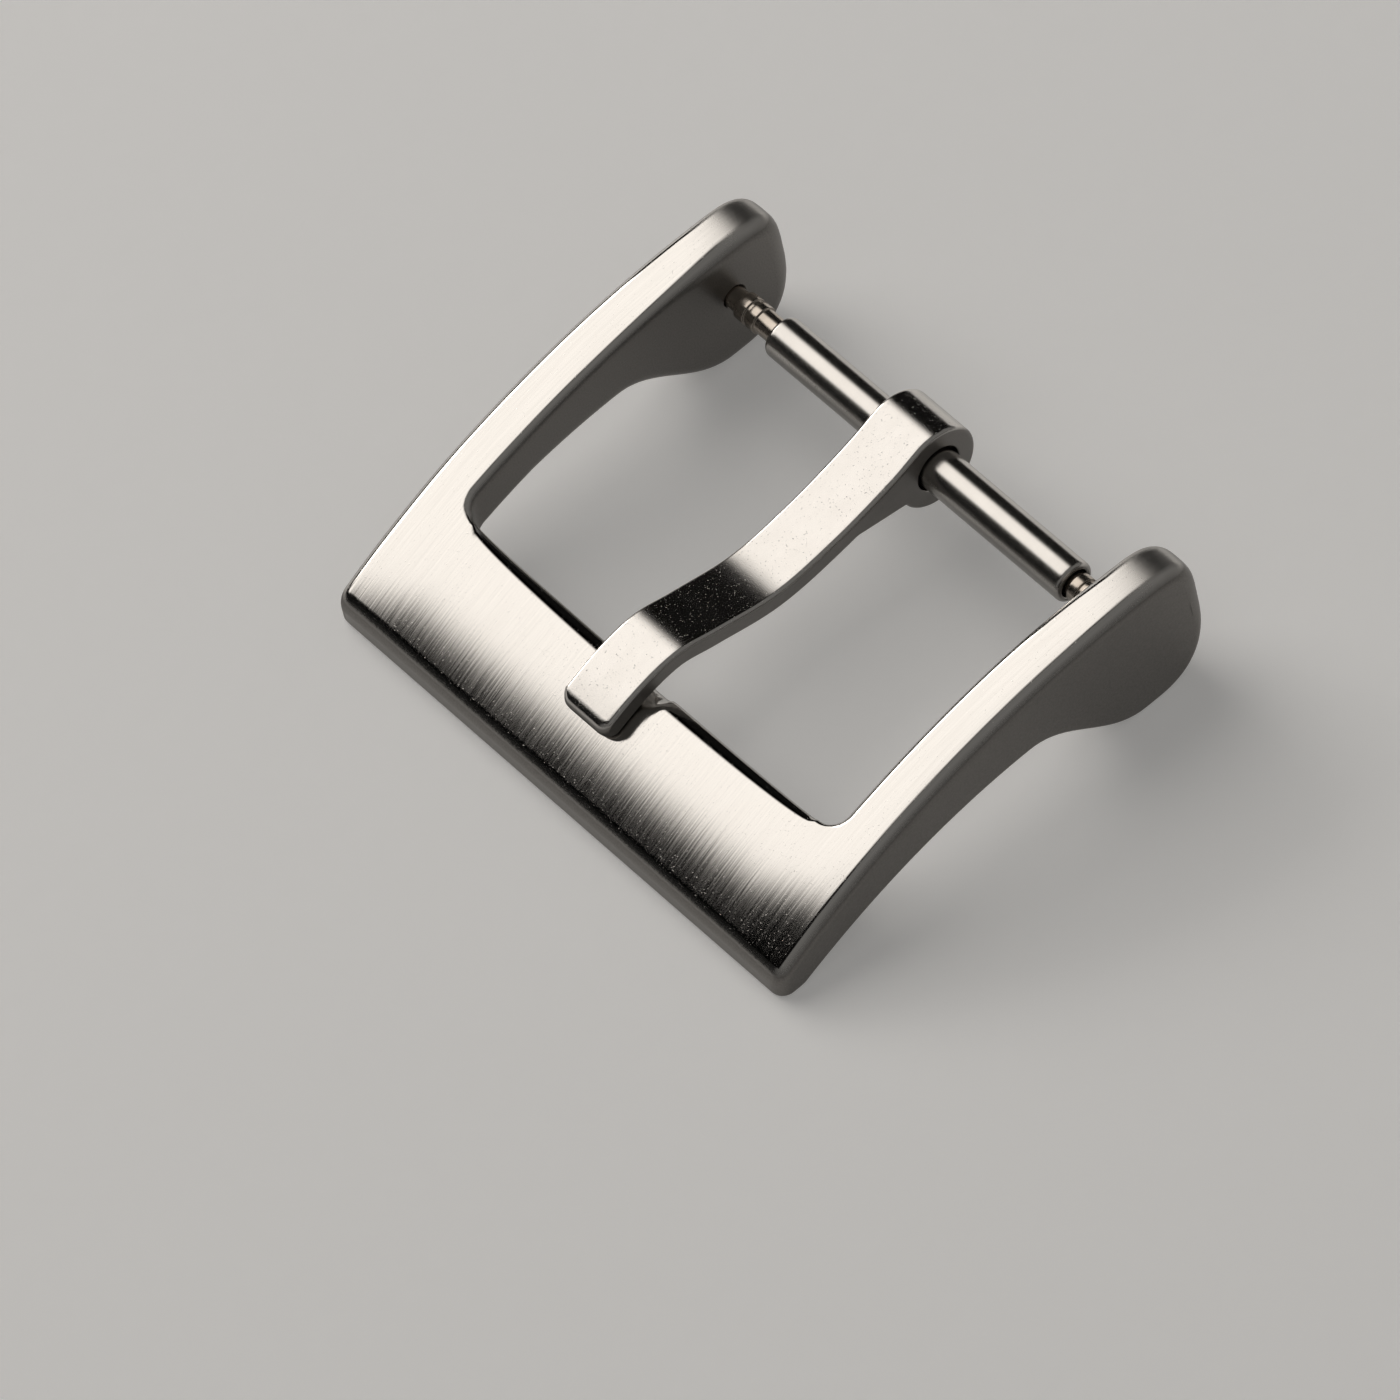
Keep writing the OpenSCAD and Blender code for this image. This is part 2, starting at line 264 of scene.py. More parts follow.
def front_and_arm_rows(side):
    """Top and bottom rows of one half, from the front bar's middle to the spring bar.

    A row runs from the outer wall to the inner wall.
    """
    tops, bottoms = [], []
    for outer, inner in frame_stations():
        outer_top, inner_top, inner_bottom, outer_bottom = softening(inner(0)[1])
        rows = []
        top_edges = fillet_rows(outer_top), rear_edge_rows(*inner(0), inner_top)
        bottom_edges = fillet_rows(outer_bottom), fillet_rows(inner_bottom)
        for (edge_out, edge_in), height, sign in (
            (top_edges, lambda x, y: top_at(side * x, y), -1),
            (bottom_edges, lambda x, y: under_at(y), 1),
        ):
            row = []
            for d, drop in edge_out:
                x, y = outer(d)
                row.append((x, y, float(height(x, y)) + sign * drop))
            (x0, y0), (x1, y1) = outer(edge_out[-1][0]), inner(edge_in[-1][0])
            for t in ACROSS:
                x, y = x0 + (x1 - x0) * t, y0 + (y1 - y0) * t
                row.append((x, y, float(height(x, y))))
            for d, drop in reversed(edge_in):
                x, y = inner(d)
                row.append((x, y, float(height(x, y)) + sign * drop))
            rows.append(row)
        tops.append(rows[0])
        bottoms.append(rows[1])
    return tops, bottoms


def lug_rows():
    """The same rows round the end of the right lug, where top and bottom meet."""
    tops, bottoms = [], []
    outer_top, inner_top, inner_bottom, outer_bottom = softening(bar_y)
    for angle in np.radians(np.linspace(90, 0, 37))[1:]:
        for sign, half_height, full, outer_soft, inner_soft, rows in (
            (1, lug_h - lobe_mid, lobe_full_above, outer_top, inner_top, tops),
            (-1, lobe_mid, lobe_full_below, outer_bottom, inner_bottom, bottoms),
        ):
            # The end is a superellipse, and angle sets how far round it the row lies
            power = 2 / full
            c, s = (abs(f(angle)) ** (1 / power) for f in (math.cos, math.sin))
            c, s = c / math.hypot(c, s), s / math.hypot(c, s)
            blend = 1 - s
            y = bar_y + bar_back * c**power
            z = lobe_mid + sign * half_height * s**power
            away = Vector((half_height * c ** (2 - power), sign * bar_back * s ** (2 - power))).normalized()

            def under_crown(x):
                drop = crown_at(x, bar_y) * ((s if sign > 0 else 0) + lug_dome * blend**0.6)
                return y - away[0] * drop, z - away[1] * drop

            soft_end = blend**0.7 if sign > 0 else blend
            r_out = outer_soft + (lug_soft_outer - outer_soft) * soft_end
            r_in = inner_soft + (lug_soft_inner - inner_soft) * soft_end
            row = []
            for d, drop in fillet_rows(r_out):
                y1, z1 = under_crown(half_w - d)
                row.append((half_w - d, y1 - away[0] * drop, z1 - away[1] * drop))
            x0, x1 = half_w - r_out, half_gap + r_in
            for x in x0 + (x1 - x0) * ACROSS:
                row.append((x, *under_crown(x)))
            for d, drop in reversed(fillet_rows(r_in)):
                y1, z1 = under_crown(half_gap + d)
                row.append((half_gap + d, y1 - away[0] * drop, z1 - away[1] * drop))
            rows.append(row)
    return tops, bottoms


def wall(upper, lower):
    """Rows of a wall between a line of upper points and a line of lower points."""
    return [
        [tuple(high + (low - high) * share for high, low in zip(a, b)) for share in DOWN]
        for a, b in zip(upper, lower)
    ]


def lathe(bm, profile, centre, steps):
    """Turns a closed profile of (x, radius) about a line along X through centre."""
    ring = np.radians(np.linspace(0, 360, steps + 1))
    ring[-1] = 0
    add_sheet(bm, [
        [(x, centre.y + r * math.cos(a), centre.z + r * math.sin(a)) for x, r in profile] for a in ring
    ])


def frame_shell():
    """The whole frame before it is drilled, made in two halves that meet in the middle."""
    lug = lug_rows()
    bm = bmesh.new()
    for side in (1, -1):
        front = front_and_arm_rows(side)
        top, bottom = ([[(x * side, y, z) for x, y, z in row] for row in front[i] + lug[i]] for i in (0, 1))
        add_sheet(bm, top)
        add_sheet(bm, bottom)
        for end in (0, -1):
            add_sheet(bm, wall([row[end] for row in top], [row[end] for row in bottom]))
    return finish_shell(bm, "buckle_frame")


def drill_lugs(piece):
    """Cuts the blind hole in the inner face of each lug, with a broken edge."""
    hole_r, hole_deep, edge, point, clear = 0.43, 0.75, 0.04, 0.1, 0.4
    bm = bmesh.new()
    for side in (1, -1):
        profile = [
            (half_gap - clear, 0),
            (half_gap - clear, hole_r + edge + clear),
            (half_gap + edge, hole_r),
            (half_gap + hole_deep - point, hole_r),
            (half_gap + hole_deep, 0.05),
            (half_gap + hole_deep, 0),
        ]
        lathe(bm, [(x * side, r) for x, r in profile], bar_axis, 48)
    drill = finish_shell(bm, "drill")
    cut = piece.modifiers.new("lug_holes", "BOOLEAN")
    cut.operation, cut.solver, cut.object = "DIFFERENCE", "EXACT", drill
    bpy.context.view_layer.update()
    drilled = bpy.data.meshes.new_from_object(piece.evaluated_get(bpy.context.evaluated_depsgraph_get()))
    piece.modifiers.remove(cut)
    piece.data = drilled
    bpy.data.objects.remove(drill)
    drilled.set_sharp_from_angle(angle=math.radians(32))


def new_finish(name):
    """A new node material, its shader, and the coordinates on the piece, which are in metres."""
    material = bpy.data.materials.new(name)
    material.use_nodes = True
    nodes, links = material.node_tree.nodes, material.node_tree.links
    place = nodes.new("ShaderNodeTexCoord")
    return material, nodes, links, nodes["Principled BSDF"], place.outputs["Object"]


def streaks(nodes, links, place, scale, detail=4.0, roughness=0.6):
    """Noise drawn out along the axes with a low scale. Scale is in cycles for each millimetre."""
    stretch = nodes.new("ShaderNodeMapping")
    stretch.inputs["Scale"].default_value = [s / MM for s in scale]
    noise = nodes.new("ShaderNodeTexNoise")
    noise.inputs["Scale"].default_value = 1.0
    noise.inputs["Detail"].default_value = detail
    noise.inputs["Roughness"].default_value = roughness
    links.new(place, stretch.inputs["Vector"])
    links.new(stretch.outputs["Vector"], noise.inputs["Vector"])
    return noise.outputs["Fac"]


def spread(nodes, links, value, low, high, start=0.25, end=0.75):
    """Maps a value from start to end onto low to high. Noise mostly runs from 0.25 to 0.75."""
    node = nodes.new("ShaderNodeMapRange")
    for name, number in (("From Min", start), ("From Max", end), ("To Min", low), ("To Max", high)):
        node.inputs[name].default_value = number
    links.new(value, node.inputs["Value"])
    return node.outputs["Result"]


def tint(nodes, links, value, dark, light):
    """Mixes two colours by a value."""
    node = nodes.new("ShaderNodeMix")
    node.data_type = "RGBA"
    node.inputs["A"].default_value = (*dark, 1)
    node.inputs["B"].default_value = (*light, 1)
    links.new(value, node.inputs["Factor"])
    return node.outputs["Result"]


def grind(nodes, links, height, depth, before=None):
    """A bump of the given depth in millimetres, on top of an earlier one."""
    node = nodes.new("ShaderNodeBump")
    node.inputs["Strength"].default_value = 1.0
    node.inputs["Distance"].default_value = depth * MM
    links.new(height, node.inputs["Height"])
    if before:
        links.new(before, node.inputs["Normal"])
    return node.outputs["Normal"]


def facing_up(nodes, links, low, high):
    """How far the surface looks up: 0 where its normal's z is under low, 1 where it is over high. It sets
    where the painted shade goes.
    """
    surface = nodes.new("ShaderNodeNewGeometry")
    parts = nodes.new("ShaderNodeSeparateXYZ")
    links.new(surface.outputs["Normal"], parts.inputs["Vector"])
    return spread(nodes, links, parts.outputs["Z"], 0, 1, low, high)


def brush_along_y(nodes, links, shader):
    """Spreads the shine across the brush lines, which run nearly along Y."""
    surface = nodes.new("ShaderNodeNewGeometry")
    cross = nodes.new("ShaderNodeVectorMath")
    cross.operation = "CROSS_PRODUCT"
    lines_way = (0.05, 1, 0.02)
    cross.inputs[0].default_value = lines_way
    links.new(surface.outputs["Normal"], cross.inputs[1])
    links.new(cross.outputs["Vector"], shader.inputs["Tangent"])
    shader.inputs["Anisotropic"].default_value = 0.75


def specks(nodes, links, place, scale, share):
    """Sparse small specks, more of them with a higher share: 1 in a speck, 0 between them."""
    start, full = 0.78 - share, 0.86 - share
    noise = streaks(nodes, links, place, (scale, scale, scale), 1.0)
    return spread(nodes, links, noise, 0, 1, start, full)


def by_slope(nodes, links, shader, up, standing, lying):
    """Colour and roughness of faces that stand up and of faces that lie flat, mixed by up. The standing
    faces' colours are painted shade.
    """
    for kind, socket, a, b in zip(("RGBA", "FLOAT"), ("Base Color", "Roughness"), standing, lying):
        node = nodes.new("ShaderNodeMix")
        node.data_type = kind
        links.new(up, node.inputs["Factor"])
        links.new(a, node.inputs["A"])
        links.new(b, node.inputs["B"])
        links.new(node.outputs["Result"], shader.inputs[socket])


def brushed_steel():
    """Bright top with lines from front to back, and matt walls whose darker colour is painted shade."""
    # The walls' darker colours are painted shade: the walls are the same steel as the top.
    shaded_wall_dark, shaded_wall_light = (0.165, 0.157, 0.148), (0.235, 0.224, 0.21)
    top_dark, top_light = (0.76, 0.732, 0.695), (0.83, 0.803, 0.765)
    bright, dull = 0.075, 0.34
    line_depth, grain_depth, speck_depth = 0.0017, 0.0002, 0.002
    material, nodes, links, shader, place = new_finish("brushed_steel")
    shader.inputs["Metallic"].default_value = 1.0
    fine = streaks(nodes, links, place, (12, 0.35, 0.35), 3.0, 0.5)
    grain = streaks(nodes, links, place, (16, 16, 16), 2.0)

    # The lugs' ends are buffed by hand, so they are duller
    parts = nodes.new("ShaderNodeSeparateXYZ")
    links.new(place, parts.inputs["Vector"])
    start, end = (bar_y - 0.3) * MM, (bar_y + 1.2) * MM
    buffed = spread(nodes, links, parts.outputs["Y"], bright, dull, start, end)
    shine = nodes.new("ShaderNodeMath")
    shine.operation = "ADD"
    links.new(buffed, shine.inputs[0])
    links.new(spread(nodes, links, fine, 0, 0.04), shine.inputs[1])
    # Faces that stand up take the painted-shade wall colours, faces that lie flat the top's own colours
    by_slope(
        nodes, links, shader, facing_up(nodes, links, 0.5, 0.84),
        (
            tint(nodes, links, spread(nodes, links, grain, 0, 1), shaded_wall_dark, shaded_wall_light),
            spread(nodes, links, grain, 0.32, 0.42),
        ),
        (
            tint(nodes, links, spread(nodes, links, fine, 0, 1), top_dark, top_light),
            shine.outputs["Value"],
        ),
    )
    lines = grind(nodes, links, fine, line_depth)
    satin = grind(nodes, links, grain, grain_depth, lines)
    dusty = grind(nodes, links, specks(nodes, links, place, 18, 0.07), speck_depth, satin)
    links.new(dusty, shader.inputs["Normal"])
    brush_along_y(nodes, links, shader)
    return material


buckle = frame_shell()
drill_lugs(buckle)
buckle.data.materials.append(brushed_steel())
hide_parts("frame")
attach(buckle, "frame")


# The barrel is the spring bar's drawn steel tube. It is turned fine and bright, and each end is
# rolled in to a lip that keeps the plungers from falling out.
barrel_low, barrel_high = (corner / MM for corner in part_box("bar_barrel"))
barrel_r = (barrel_high.z - barrel_low.z) / 2
bore_r = barrel_r - 0.15
mouth_r = 0.53
lip_l = 0.25
roll_r = 0.17
lip_slope = 0.1
rim_in, rim_edge, rim_end = 0.02, 0.03, 0.05


def round_profile(points, radius, steps=4):
    """Softens every inner corner of an open profile of (x, radius) points."""
    out = [points[0]]
    for before, corner, after in zip(points, points[1:], points[2:]):
        a, b, c = Vector(before), Vector(corner), Vector(after)
        reach = min(radius, (a - b).length / 2.2, (c - b).length / 2.2)
        start, end = b + (a - b).normalized() * reach, b + (c - b).normalized() * reach
        for i in range(steps + 1):
            t = i / steps
            out.append(tuple(start * (1 - t) ** 2 + b * 2 * t * (1 - t) + end * t**2))
    return out + [points[-1]]


def barrel_shell():
    """The tube, with its outside from left to right and its inside back again."""
    left, right = barrel_low.x, barrel_high.x
    outside = []
    for i in range(7):
        turn = math.radians(90 * i / 6)
        outside.append((
            left + roll_r - roll_r * math.cos(turn),
            barrel_r - roll_r + roll_r * math.sin(turn),
        ))
    outside += [(left + (right - left) * t, barrel_r) for t in np.linspace(0.02, 0.98, 25)]
    outside += [(left + right - x, r) for x, r in reversed(outside[:7])]
    inside = round_profile([
        (right - rim_in, mouth_r + rim_edge),
        (right - rim_end, mouth_r),
        (right - lip_l, mouth_r),
        (right - lip_l - lip_slope, bore_r),
        (left + lip_l + lip_slope, bore_r),
        (left + lip_l, mouth_r),
        (left + rim_end, mouth_r),
        (left + rim_in, mouth_r + rim_edge),
    ], 0.02, 2)
    bm = bmesh.new()
    lathe(bm, outside + inside + outside[:1], bar_axis, 96)
    return finish_shell(bm, "spring_bar_barrel")


def turned_steel(name, depth, rough, dark, light):
    """Steel turned on a lathe: fine rings of the given depth, brightest where it looks up, with its sides
    painted darker as shade.
    """
    rings = 9
    # The sides' colours are painted shade, this share of the top's colours; the sides are also rougher.
    painted_side_shade, side_dull = 0.36, 0.1
    low, high = rough
    material, nodes, links, shader, place = new_finish(name)
    shader.inputs["Metallic"].default_value = 1.0
    ring = streaks(nodes, links, place, (rings, 0.35, 0.35), 3.0)
    cloud = streaks(nodes, links, place, (0.7, 1.6, 1.6), 2.0)
    shade = [tuple(painted_side_shade * c for c in colour) for colour in (dark, light)]
    by_slope(
        nodes, links, shader, facing_up(nodes, links, 0.2, 0.75),
        (tint(nodes, links, cloud, *shade), spread(nodes, links, ring, low + side_dull, high + side_dull)),
        (tint(nodes, links, cloud, dark, light), spread(nodes, links, ring, low, high)),
    )
    links.new(grind(nodes, links, ring, depth), shader.inputs["Normal"])
    return material


barrel = barrel_shell()
barrel.data.materials.append(
    turned_steel("turned_steel", 0.0005, (0.19, 0.23), (0.70, 0.67, 0.63), (0.80, 0.77, 0.73))
)
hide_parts("bar_barrel")
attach(barrel, "barrel")


# The spring is drawn steel wire, wound to lie inside the barrel between the two plungers.
# Its end turns are closed, so that it pushes square on them. It is one wire, made here in two
# halves.
spring_low, spring_high = (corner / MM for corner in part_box("bar_spring"))
wire_r = 0.09
spring_turns = 16
turn_steps = 20
end_gap = 0.01
coil_r = (spring_high.z - spring_low.z) / 2 - wire_r


def coil_half(name, start):
    """Half of the wound wire, from the step at which it starts, capped at both ends."""
    around = 10
    count = spring_turns * turn_steps
    run = spring_high.x - spring_low.x - 2 * wire_r - 2 * end_gap
    rows = []
    for i in range(start, start + count // 2 + 1):
        t = i / count
        a = 2 * math.pi * spring_turns * t
        # The pitch is less in the first and the last turns
        closing = 0.011 * math.sin(2 * math.pi * t) * math.cos(math.pi * t) ** 2
        along = spring_low.x + wire_r + end_gap + run * (t - closing)
        out = Vector((0, math.cos(a), math.sin(a)))
        side = Vector((1, 0, 0))
        middle = Vector((along, bar_y, bar_z)) + coil_r * out
        rows.append([
            tuple(middle + wire_r * (math.cos(b) * out + math.sin(b) * side))
            for b in [2 * math.pi * (k % around) / around for k in range(around + 1)]
        ])
    bm = bmesh.new()
    add_sheet(bm, rows)
    for row in (rows[0], rows[-1]):
        middle = sum((Vector(p) for p in row[:-1]), Vector()) / around
        add_sheet(bm, [row, [tuple(middle)] * (around + 1)])
    return finish_shell(bm, name)


drawn_wire = turned_steel("drawn_wire", 0.0008, (0.24, 0.34), (0.55, 0.54, 0.52), (0.66, 0.65, 0.63))
for name, start, joint in (
    ("spring_bar_coil_left", 0, "left_plunge"),
    ("spring_bar_coil_right", spring_turns * turn_steps // 2, "right_plunge"),
):
    half = coil_half(name, start)
    half.data.materials.append(drawn_wire)
    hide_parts("bar_spring")
    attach(half, "barrel")
    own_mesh(half)


# Each plunger is a turned steel pin, a little worn. From the lug inwards it has a tip, an outer
# flange, a groove, an inner flange, a neck that passes the barrel's lip, and a guide that the
# spring pushes on.
tip_out = 0.49
pin_r, flange_r, neck_r = 0.4, 0.51, 0.45


def plunger_shell(name, node):
    """One plunger from its tip to its guide, whose width and tip come from the CAD piece."""
    low, high = (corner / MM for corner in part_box(node))
    guide_r = (high.z - low.z) / 2
    side = 1 if high.x > half_gap else -1
    tip = high.x if side > 0 else low.x
    shoulder = side * (half_gap - tip_out)

    # How far inwards of the shoulder each step ends, and its radius
    steps = (
        (0, pin_r),
        (0.44, flange_r),
        (0.58, neck_r),
        (0.94, flange_r),
        (2.21, neck_r),
        (3.01, guide_r),
    )
    profile = [(tip, 0)]
    start = tip
    for inwards, r in steps:
        end = shoulder - side * inwards
        profile += [(start, r), ((start + end) / 2, r), (end, r)]
        start = end
    profile.append((start, 0))
    bm = bmesh.new()
    lathe(bm, round_profile(profile, 0.055, 3), bar_axis, 64)
    return finish_shell(bm, name)


worn_turned = turned_steel(
    "worn_turned_steel", 0.0005, (0.2, 0.26), (0.62, 0.54, 0.46), (0.74, 0.67, 0.59)
)
for side_name in ("left", "right"):
    plunger = plunger_shell(f"{side_name}_pin", f"{side_name}_plunger")
    plunger.data.materials.append(worn_turned)
    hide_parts(f"{side_name}_plunger")
    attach(plunger, f"{side_name}_plunger")


# The tongue is one steel strip that thickens to an eye round the barrel. It climbs from the scoop,
# dips behind the front bar and rises to the eye. It is finely blasted, and its edges are broken.
tongue_low, tongue_high = (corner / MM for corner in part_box("tongue"))
tongue_x = (tongue_low.x + tongue_high.x) / 2
tongue_w = tongue_high.x - tongue_low.x
tip_y = tongue_low.y
tip_w = 2.25
tip_r = 0.45
strip_t = 0.7
eye_bore = barrel_r + 0.1
eye_r = eye_bore + 0.69
eye_start, eye_turn = 112, 272
seat_gap = 0.05
tip_lift = 0.06
tip_lean = 0.07
edge_top, edge_bottom, edge_tip, edge_bore = 0.16, 0.09, 0.4, 0.06


def smooth_line(points, steps):
    """A smooth curve through the points, in so many steps from each to the next."""
    out = []
    for i in range(len(points) - 1):
        a, b, c, d = (np.array(points[min(max(i + k, 0), len(points) - 1)]) for k in (-1, 0, 1, 2))
        for k in range(steps):
            t = k / steps
            square, cube = 2 * a - 5 * b + 4 * c - d, 3 * b - a - 3 * c + d
            out.append(0.5 * (2 * b + (c - a) * t + square * t**2 + cube * t**3))
    return np.array(out + [points[-1]])


def eye_at(degrees, radius):
    """A point of the eye as (y, z), at an angle from the strap's side and a radius."""
    turn = math.radians(degrees)
    return bar_y + radius * math.cos(turn), bar_z + radius * math.sin(turn)


def tongue_lines():
    """Top line and bottom line of the strip, as (y, z), point against point."""
    rise = strip_t / math.cos(math.asin((bar_y - opening_y) / top_r)) + seat_gap
    lift_off = opening_y - 0.8
    crest_y, crest_h = opening_y + 0.9, 3.97
    dip_y, dip_h = opening_y + 4.95, 3.12
    fall_y, fall_h = crest_y + 0.41 * (dip_y - crest_y), crest_h - 0.44 * (crest_h - dip_h)
    climb_y, climb_h = bar_y - 4.2, dip_h + 0.28
    foot_y, foot_h = bar_y - 1.9, dip_h + 0.86

    # From the tip over the front bar and the crest, down to the dip, and up to the eye
    top = smooth_line([
        (tip_y, arched_top(tip_y) + rise + tip_lift),
        (lift_off, arched_top(lift_off) + rise),
        (crest_y, crest_h),
        (fall_y, fall_h),
        (dip_y, dip_h),
        (climb_y, climb_h),
        (foot_y, foot_h),
        eye_at(eye_start, eye_r),
    ], 8)
    way = np.gradient(top, axis=0)
    way /= np.linalg.norm(way, axis=1)[:, None]
    under = top + strip_t * np.stack([way[:, 1], -way[:, 0]], 1)

    # The strip keeps its thickness up to here, and then it thickens to the eye
    last = 42
    eye_end = np.array(eye_at(eye_start - eye_turn, eye_r))
    share = np.linspace(0, 1, len(top) - last)[:, None]
    taper = under[last] + (eye_end - under[last]) * share
    return top, np.concatenate([under[:last], taper])


def tongue_half(y):
    """Half the tongue's width at y, narrower at the tip."""
    share = np.clip((y - tip_y - tip_r) / (bar_y - eye_r - tip_y - tip_r), 0, 1)
    return (tip_w + (tongue_w - tip_w) * share) / 2


def tip_outline(u, d):
    """Sideways place and distance from the end of a point on the tip's outline, d inside it."""
    flat = tip_w / 2 - tip_r
    arc = tip_r * math.pi / 2
    run = abs(u) * (flat + arc)
    side = math.copysign(1, u)
    if run <= flat:
        return side * run, d
    turn = (run - flat) / tip_r
    return side * (flat + (tip_r - d) * math.sin(turn)), tip_r - (tip_r - d) * math.cos(turn)


# Insets and drops round a softened edge of radius 1, and shares of the way across the strip
TONGUE_SOFT = [(1 - math.cos(a), 1 - math.sin(a)) for a in np.radians(np.linspace(0, 90, 6))]
TONGUE_ACROSS = np.linspace(-1, 1, 25)


def edge_at_tip(u, at_sides, in_middle):
    """Edge radius at a share u of the way across the tip's end."""
    return at_sides + (in_middle - at_sides) * (1 - abs(u) ** 6)


def tongue_shell():
    """The strip's two faces from the tip to the eye, then its walls, the eye and the bore."""
    top, bottom = tongue_lines()
    index = np.arange(len(top))
    lengths = np.concatenate([[0], np.cumsum(np.linalg.norm(np.diff(top, axis=0), axis=1))])
    cap_end = 1.1

    def point_at(line, s):
        i = np.interp(s, lengths, index)
        return np.array([np.interp(i, index, line[:, k]) for k in (0, 1)])

    def inward_at(line, s, sign):
        step = 0.04
        way = point_at(line, min(s + step, lengths[-1])) - point_at(line, max(s - step, 0))
        return sign * np.array([way[1], -way[0]]) / np.linalg.norm(way)

    def place(x, yz):
        lean = tip_lean * np.clip((bar_y - eye_r - yz[0]) / (bar_y - eye_r - tip_y), 0, 1)
        return tongue_x + x - lean, yz[0], yz[1]

    def row_across(yz, inward, half, edge):
        """Points across the strip, softened at both sides."""
        left = [(-half + inset * edge, yz + inward * drop * edge) for inset, drop in TONGUE_SOFT]
        middle = [(u * (half - edge), yz) for u in TONGUE_ACROSS[1:-1]]
        return [place(x, p) for x, p in left + middle] + [place(-x, p) for x, p in reversed(left)]

    bm = bmesh.new()
    rims = []
    faces = []
    for line, sign, edge, end_edge in (
        (top, 1, edge_top, edge_tip),
        (bottom, -1, edge_bottom, edge_bottom),
    ):
        # The first stretch turns from the tip's round outline to straight rows
        cap = []
        for q in np.linspace(0, 1, 7):
            s = tip_r + (cap_end - tip_r) * q
            yz = point_at(line, s)
            half = tongue_half(point_at(top, s)[0])
            row = row_across(yz, inward_at(line, s, sign), half, edge)
            for i, u in enumerate(TONGUE_ACROSS[1:-1]):
                x, near = tip_outline(u, edge_at_tip(u, edge, end_edge))
                x, near = x + (u * (half - edge) - x) * q, near + (cap_end - near) * q
                row[len(TONGUE_SOFT) + i] = place(x, point_at(line, near))
            cap.append(row)

        # The softened edge round the tip's end
        front = []
        for inset, drop in TONGUE_SOFT:
            row = []
            for u in TONGUE_ACROSS:
                r = edge_at_tip(u, edge, end_edge)
                x, near = tip_outline(u, inset * r)
                row.append(place(x, point_at(line, near) + inward_at(line, near, sign) * drop * r))
            front.append(row)
        add_sheet(bm, front)

        # Straight rows to the eye. The last one leans so that it meets the eye's own rows
        strip = []
        for s in np.linspace(cap_end, lengths[-1], 62)[1:]:
            inward = inward_at(line, s, sign)
            if s == lengths[-1]:
                eye_in = np.array([bar_y, bar_z]) - point_at(line, s)
                eye_in /= np.linalg.norm(eye_in)
                inward = eye_in if sign > 0 else (inward + eye_in) / np.linalg.norm(inward + eye_in)
            strip.append(row_across(point_at(line, s), inward, tongue_half(point_at(top, s)[0]), edge))
        face = cap + strip
        faces.append(face)
        rims.append([row[0] for row in reversed(face)] + front[0][1:-1] + [row[-1] for row in face])

    # Round the outside of the eye, from the top face to the bottom face
    around = []
    turns = np.linspace(eye_start, eye_start - eye_turn, 69)
    for i, turn in enumerate(turns[1:-1]):
        edge = edge_top + (edge_bottom - edge_top) * (i + 1) / (len(turns) - 1)
        inward = -np.array([math.cos(math.radians(turn)), math.sin(math.radians(turn))])
        around.append(row_across(np.array(eye_at(turn, eye_r)), inward, tongue_w / 2, edge))
    eye = [faces[0][-1]] + around + [faces[1][-1]]
    add_sheet(bm, faces[0][:-1] + eye + faces[1][-2::-1])
    side_wall = wall(*rims)
    add_sheet(bm, side_wall)

    # Each side face of the eye, from its edge to the bore, and the bore itself
    chord_turns = [eye_start + (360 - eye_turn) * share for share in DOWN]
    for end, side in ((0, -1), (-1, 1)):
        x = side * tongue_w / 2
        for rim, angles in (([row[end] for row in eye], turns), (side_wall[end], chord_turns)):
            add_sheet(bm, wall(rim, [place(x, eye_at(a, eye_bore + edge_bore)) for a in angles]))
    bore_edge = [
        (-tongue_w / 2 + inset * edge_bore, eye_bore + drop * edge_bore) for inset, drop in TONGUE_SOFT
    ]
    bore_line = bore_edge + [(x, eye_bore) for x in np.linspace(-0.9, 0.9, 7)]
    bore_line += [(-x, r) for x, r in reversed(bore_edge)]
    add_sheet(bm, [
        [place(x, eye_at(a, r)) for x, r in bore_line] for a in list(turns) + chord_turns[-2::-1]
    ])
    piece = finish_shell(bm, "buckle_tongue")
    piece.data.set_sharp_from_angle(angle=math.radians(34))
    return piece


def satin_steel():
    """Blasted steel, bright where it lies flat, with walls painted darker as shade, and a few small pits.
    """
    # The walls' darker colours are painted shade, not a different finish from the top.
    shaded_wall_dark, shaded_wall_light = (0.16, 0.153, 0.144), (0.21, 0.201, 0.19)
    top_dark, top_light = (0.74, 0.71, 0.67), (0.84, 0.81, 0.775)
    swell_depth, grain_depth, pit_depth = 0.0012, 0.0012, 0.008
    material, nodes, links, shader, place = new_finish("satin_steel")
    shader.inputs["Metallic"].default_value = 1.0
    grain = streaks(nodes, links, place, (22, 22, 22), 3.0)
    cloud = streaks(nodes, links, place, (1.4, 0.8, 0.8), 3.0)
    by_slope(
        nodes, links, shader, facing_up(nodes, links, 0.3, 0.7),
        (
            tint(nodes, links, cloud, shaded_wall_dark, shaded_wall_light),
            spread(nodes, links, grain, 0.3, 0.4),
        ),
        (
            tint(nodes, links, cloud, top_dark, top_light),
            spread(nodes, links, grain, 0.13, 0.2),
        ),
    )
    swell = grind(nodes, links, cloud, swell_depth)
    satin = grind(nodes, links, grain, grain_depth, swell)
    pitted = grind(nodes, links, specks(nodes, links, place, 17, 0.07), pit_depth, satin)
    links.new(pitted, shader.inputs["Normal"])
    return material


tongue = tongue_shell()
tongue.data.materials.append(satin_steel())
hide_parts("tongue")
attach(tongue, "tongue")


